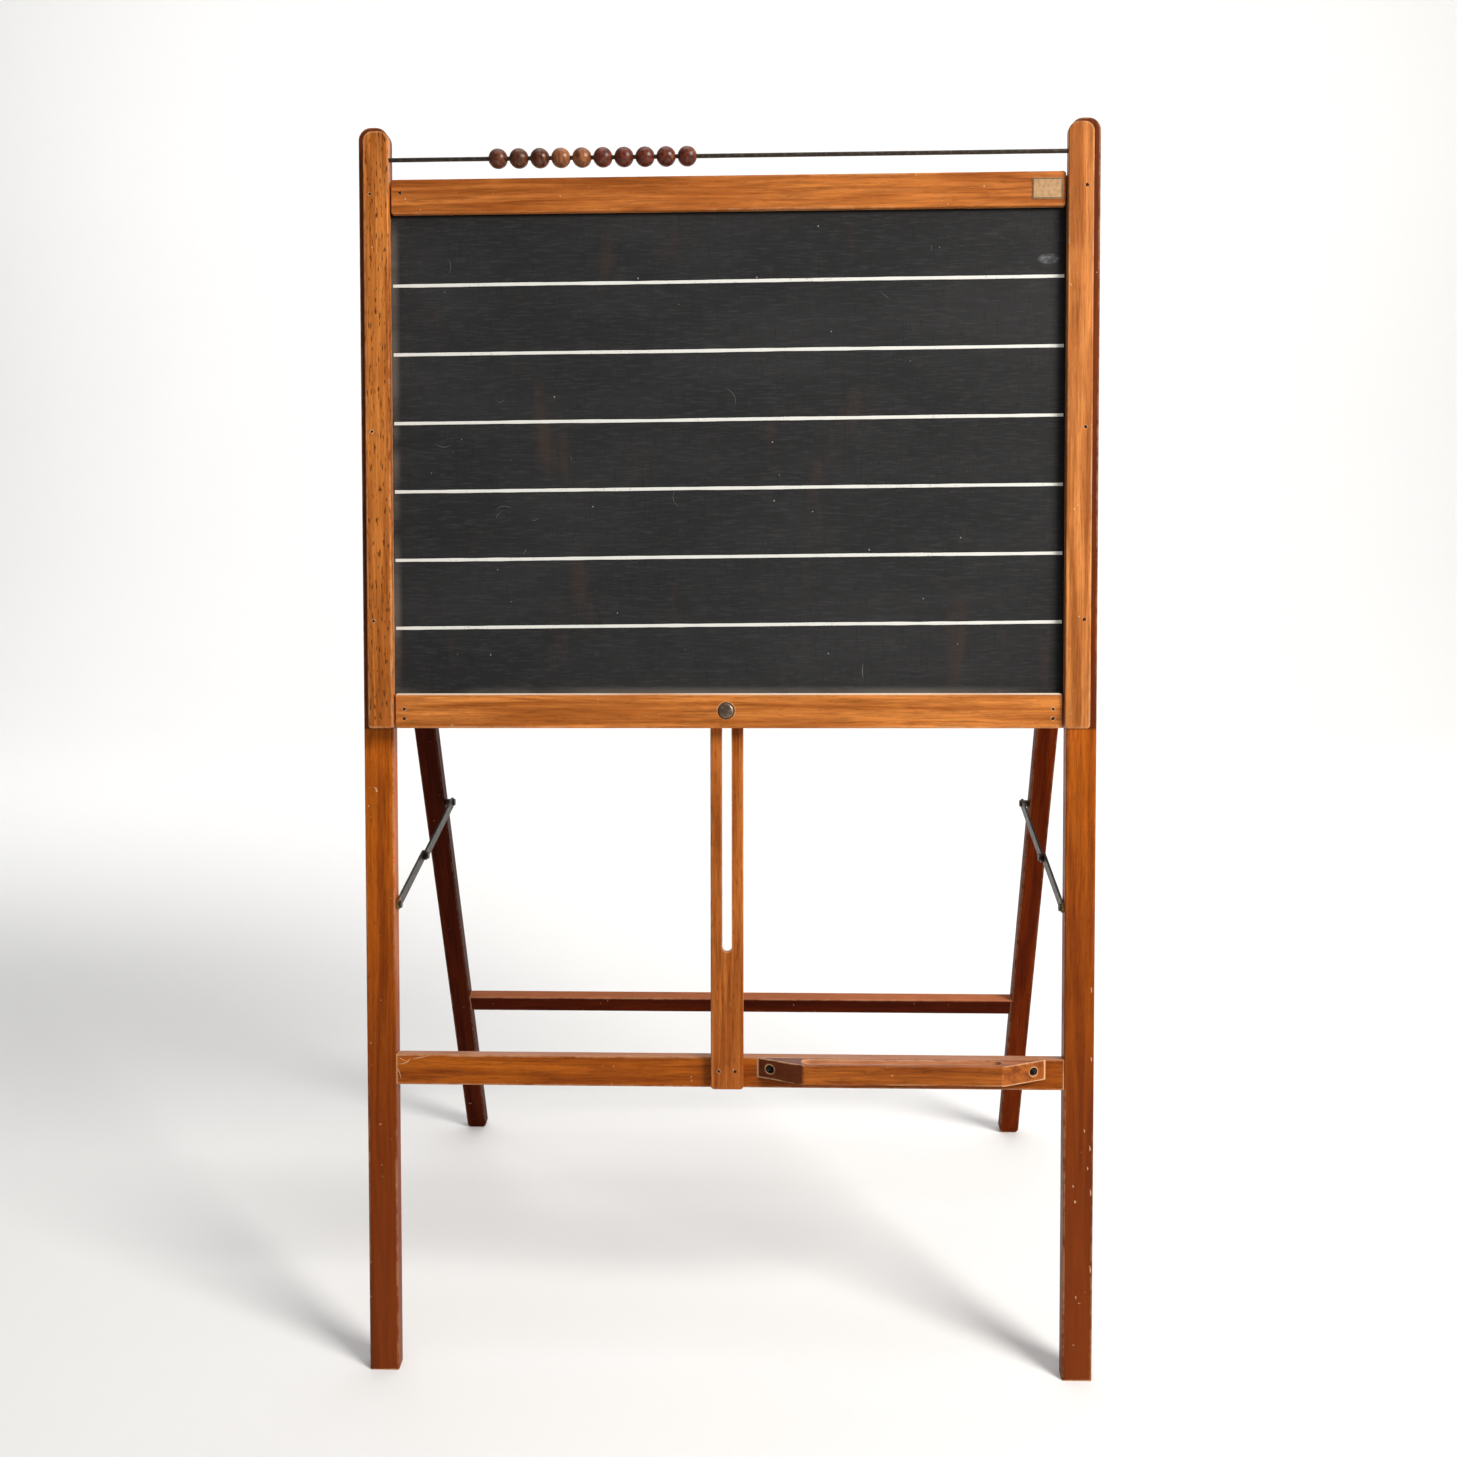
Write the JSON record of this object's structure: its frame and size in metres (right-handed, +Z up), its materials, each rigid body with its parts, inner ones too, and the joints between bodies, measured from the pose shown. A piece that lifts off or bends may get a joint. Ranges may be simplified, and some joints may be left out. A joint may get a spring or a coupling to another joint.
{
  "type": "kids easel",
  "caption": "Free-standing folding wooden kids easel: a height-adjustable ruled blackboard, a bead abacus on a wire above it, a chalk tray, folding rear legs and metal stays.",
  "frame": {"origin": "on the floor, in the middle of the footprint", "axes": "+Z up, +X to the right seen from the front, front towards -Y"},
  "size_m": [0.615, 0.417, 1.0249],
  "materials": {
    "varnished_wood": "worn orange-brown varnish over straight-grained beech, pale along the edges",
    "dark_wood": "dark red-brown varnish, worn at the edges",
    "plain_wood": "brown-stained wood, matt",
    "blackboard_paint": "matt charcoal blackboard paint with white ruled lines",
    "bead_brown": "worn brown lacquer",
    "bead_tan": "clear lacquer on pale wood",
    "bead_red": "worn red-brown lacquer",
    "dark_steel": "dull darkened steel",
    "bolt_steel": "tarnished plated steel",
    "stay_brass": "tarnished brass plating with bright rubbed ends",
    "brass": "dull brass",
    "plate_cream": "blank cream-gold foil plate, scuffed"
  },
  "bodies": {
    "front_frame": {"leg_left": "varnished_wood", "leg_right": "varnished_wood", "front_stretcher": "varnished_wood", "upper_crossbar": "plain_wood", "frame_dowels": "plain_wood", "slotted_bar": "varnished_wood", "bar_brads": "dark_steel", "stile_left": "varnished_wood", "stile_right": "varnished_wood", "stile_spacer_left": "varnished_wood", "stile_spacer_right": "varnished_wood", "stile_nails": "dark_steel", "abacus_rod": "dark_steel", "chalk_tray": "varnished_wood", "tray_screws": "dark_steel", "hinge_leaf_front_left": "brass", "hinge_leaf_front_right": "brass", "hinge_pins": "brass", "hinge_screws_front": "dark_steel", "stay_front_screw_left": "dark_steel", "stay_front_screw_right": "dark_steel"},
    "board": {"top_rail": "varnished_wood", "bottom_rail": "varnished_wood", "blackboard": "blackboard_paint", "board_batten_left": "plain_wood", "board_batten_right": "plain_wood", "board_nails": "dark_steel", "label_plate": "plate_cream", "carriage_bolt": "bolt_steel", "washer": "bolt_steel"},
    "wing_nut": {"wing_nut": "bolt_steel"},
    "rear_frame": {"rear_leg_left": "dark_wood", "rear_leg_right": "dark_wood", "rear_stretcher": "dark_wood", "rear_dowels": "plain_wood", "hinge_leaf_rear_left": "brass", "hinge_leaf_rear_right": "brass", "hinge_screws_rear": "dark_steel"},
    "stay_front_left": {"stay_front_link_left": "stay_brass", "stay_knee_rivet_left": "dark_steel"},
    "stay_rear_left": {"stay_rear_link_left": "stay_brass", "stay_rear_screw_left": "dark_steel"},
    "stay_front_right": {"stay_front_link_right": "stay_brass", "stay_knee_rivet_right": "dark_steel"},
    "stay_rear_right": {"stay_rear_link_right": "stay_brass", "stay_rear_screw_right": "dark_steel"},
    "bead_01": {"bead_01": "bead_brown"},
    "bead_02": {"bead_02": "bead_brown"},
    "bead_03": {"bead_03": "bead_brown"},
    "bead_04": {"bead_04": "bead_tan"},
    "bead_05": {"bead_05": "bead_tan"},
    "bead_06": {"bead_06": "bead_red"},
    "bead_07": {"bead_07": "bead_red"},
    "bead_08": {"bead_08": "bead_red"},
    "bead_09": {"bead_09": "bead_red"},
    "bead_10": {"bead_10": "bead_red"}
  },
  "joints": [
    {"name": "board_slide", "type": "slide", "parent": "front_frame", "child": "board", "axis": [0, -0.2284, -0.9736], "range_m": [0, 0.2]},
    {"name": "wing_nut_turn", "type": "hinge", "parent": "board", "child": "wing_nut", "pos_m": [0, -0.07438, 0.55068], "axis": [0, 0.9736, -0.2284], "continuous": true},
    {"name": "frame_fold", "type": "hinge", "parent": "front_frame", "child": "rear_frame", "pos_m": [0, -0.00282, 0.80367], "axis": [-1, 0, 0], "range_deg": [0, 26.8]},
    {"name": "stay_front_swing_left", "type": "hinge", "parent": "front_frame", "child": "stay_front_left", "pos_m": [-0.2812, -0.11009, 0.38881], "axis": [-1, 0, 0], "range_deg": [0, 107.21]},
    {"name": "stay_knee_left", "type": "hinge", "parent": "stay_front_left", "child": "stay_rear_left", "pos_m": [-0.2789, -0.01554, 0.39876], "axis": [1, 0, 0], "range_deg": [0, 170.19]},
    {"name": "stay_front_swing_right", "type": "hinge", "parent": "front_frame", "child": "stay_front_right", "pos_m": [0.2812, -0.11009, 0.38881], "axis": [-1, 0, 0], "range_deg": [0, 107.21]},
    {"name": "stay_knee_right", "type": "hinge", "parent": "stay_front_right", "child": "stay_rear_right", "pos_m": [0.2789, -0.01554, 0.39876], "axis": [1, 0, 0], "range_deg": [0, 170.19]},
    {"name": "bead_01_slide", "type": "slide", "parent": "front_frame", "child": "bead_01", "axis": [1, 0, 0], "range_m": [-0.081, 0.029]},
    {"name": "bead_02_slide", "type": "slide", "parent": "bead_01", "child": "bead_02", "axis": [1, 0, 0], "range_m": [-0.002, 0.029]},
    {"name": "bead_03_slide", "type": "slide", "parent": "bead_02", "child": "bead_03", "axis": [1, 0, 0], "range_m": [-0.002, 0.029]},
    {"name": "bead_04_slide", "type": "slide", "parent": "bead_03", "child": "bead_04", "axis": [1, 0, 0], "range_m": [-0.002, 0.029]},
    {"name": "bead_05_slide", "type": "slide", "parent": "bead_04", "child": "bead_05", "axis": [1, 0, 0], "range_m": [-0.002, 0.029]},
    {"name": "bead_06_slide", "type": "slide", "parent": "bead_05", "child": "bead_06", "axis": [1, 0, 0], "range_m": [-0.002, 0.029]},
    {"name": "bead_07_slide", "type": "slide", "parent": "bead_06", "child": "bead_07", "axis": [1, 0, 0], "range_m": [-0.002, 0.029]},
    {"name": "bead_08_slide", "type": "slide", "parent": "bead_07", "child": "bead_08", "axis": [1, 0, 0], "range_m": [-0.002, 0.029]},
    {"name": "bead_09_slide", "type": "slide", "parent": "bead_08", "child": "bead_09", "axis": [1, 0, 0], "range_m": [-0.002, 0.029]},
    {"name": "bead_10_slide", "type": "slide", "parent": "bead_09", "child": "bead_10", "axis": [1, 0, 0], "range_m": [-0.002, 0.029]}
  ],
  "couplings": [
    {"joint": "stay_front_swing_left", "follows": "frame_fold", "ratio": 4.0003},
    {"joint": "stay_knee_left", "follows": "frame_fold", "ratio": 6.3503},
    {"joint": "stay_front_swing_right", "follows": "frame_fold", "ratio": 4.0003},
    {"joint": "stay_knee_right", "follows": "frame_fold", "ratio": 6.3503}
  ]
}
